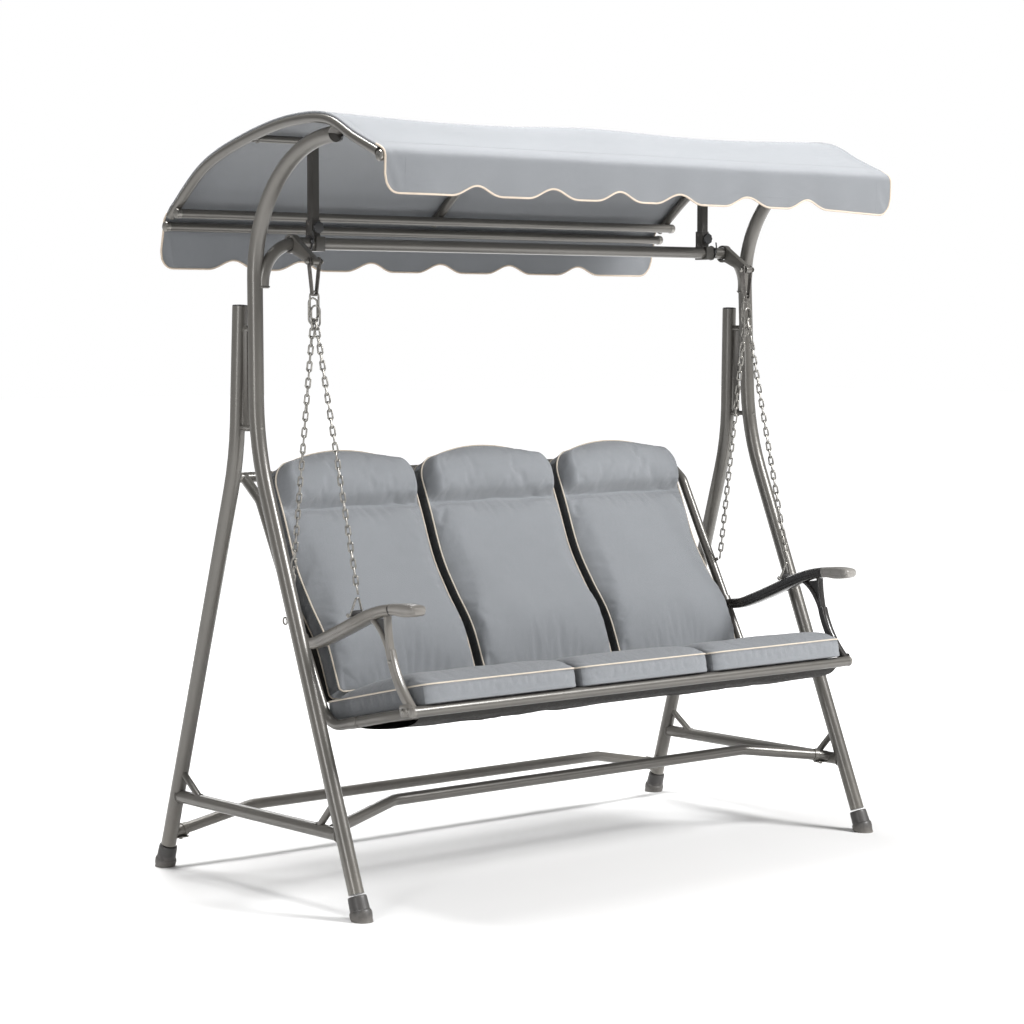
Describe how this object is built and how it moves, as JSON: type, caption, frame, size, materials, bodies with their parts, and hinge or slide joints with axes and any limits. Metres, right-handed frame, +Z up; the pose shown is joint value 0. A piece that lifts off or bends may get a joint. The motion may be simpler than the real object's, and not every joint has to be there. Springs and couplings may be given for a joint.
{
  "type": "garden swing",
  "caption": "Garden swing with a tube frame, a cushioned bench hung on chains and a tilting cloth canopy.",
  "frame": {"origin": "on the floor, under the middle of the overall box, 30 mm in front of the middle of the four feet", "axes": "+X along the bench to the viewer's right as seen from the front, sitters face -Y, +Z up"},
  "size_m": [1.8566, 0.9987, 1.9749],
  "materials": {
    "frame_paint": "satin warm grey powder coat",
    "foot_rubber": "matt dark grey",
    "knob_plastic": "matt black",
    "cushion_cloth": "woven blue-grey cloth with cream piping",
    "canopy_cloth": "woven blue-grey cloth with cream piping",
    "sling_cloth": "dark mesh",
    "arm_plastic": "satin warm grey",
    "bright_steel": "zinc plated"
  },
  "bodies": {
    "frame": {"left_front_leg": "frame_paint", "right_front_leg": "frame_paint", "left_rear_leg": "frame_paint", "right_rear_leg": "frame_paint", "left_front_foot": "foot_rubber", "right_front_foot": "foot_rubber", "left_rear_foot": "foot_rubber", "right_rear_foot": "foot_rubber", "left_side_bar": "frame_paint", "right_side_bar": "frame_paint", "left_leg_joint": "bright_steel", "right_leg_joint": "bright_steel", "left_post": "frame_paint", "right_post": "frame_paint", "left_hanger_bracket": "frame_paint", "right_hanger_bracket": "frame_paint", "front_stretcher": "frame_paint", "rear_stretcher": "frame_paint", "crossbar": "frame_paint"},
    "canopy": {"left_rib": "frame_paint", "middle_rib": "frame_paint", "right_rib": "frame_paint", "front_bar": "frame_paint", "rear_upper_bar": "frame_paint", "rear_lower_bar": "frame_paint", "canopy_cloth": "canopy_cloth", "left_tilt_ear": "frame_paint", "right_tilt_ear": "frame_paint"},
    "bench": {"left_bench_side": "frame_paint", "right_bench_side": "frame_paint", "left_armrest": "arm_plastic", "right_armrest": "arm_plastic", "left_arm_strut": "arm_plastic", "right_arm_strut": "arm_plastic", "left_hook": "bright_steel", "right_hook": "bright_steel", "left_top_ring": "bright_steel", "right_top_ring": "bright_steel", "left_front_chain": "bright_steel", "right_front_chain": "bright_steel", "left_rear_chain": "bright_steel", "right_rear_chain": "bright_steel", "left_shackle": "bright_steel", "right_shackle": "bright_steel", "front_rail": "frame_paint", "rear_rail": "frame_paint", "top_rail": "frame_paint", "seat_sling": "sling_cloth", "back_sling": "sling_cloth", "left_seat_cushion": "cushion_cloth", "left_back_cushion": "cushion_cloth", "middle_seat_cushion": "cushion_cloth", "middle_back_cushion": "cushion_cloth", "right_seat_cushion": "cushion_cloth", "right_back_cushion": "cushion_cloth"},
    "left_post_knob": {"left_post_knob": "knob_plastic"},
    "right_post_knob": {"right_post_knob": "knob_plastic"},
    "left_tilt_knob": {"left_tilt_knob": "knob_plastic"},
    "right_tilt_knob": {"right_tilt_knob": "knob_plastic"}
  },
  "joints": [
    {"name": "bench_swing", "type": "hinge", "parent": "frame", "child": "bench", "pos_m": [0, -0.051, 1.611], "axis": [1, 0, 0], "range_deg": [-20, 20]},
    {"name": "canopy_tilt", "type": "hinge", "parent": "frame", "child": "canopy", "pos_m": [0, -0.242, 1.913], "axis": [1, 0, 0], "range_deg": [0, 20]},
    {"name": "left_post_knob_turn", "type": "hinge", "parent": "frame", "child": "left_post_knob", "pos_m": [-0.698, 0.0374, 1.701], "axis": [0, 1, 0], "continuous": true},
    {"name": "left_tilt_knob_turn", "type": "hinge", "parent": "canopy", "child": "left_tilt_knob", "pos_m": [-0.836, -0.242, 1.913], "axis": [1, 0, 0], "continuous": true},
    {"name": "right_post_knob_turn", "type": "hinge", "parent": "frame", "child": "right_post_knob", "pos_m": [0.698, 0.0374, 1.701], "axis": [0, 1, 0], "continuous": true},
    {"name": "right_tilt_knob_turn", "type": "hinge", "parent": "canopy", "child": "right_tilt_knob", "pos_m": [0.836, -0.242, 1.913], "axis": [1, 0, 0], "continuous": true}
  ]
}
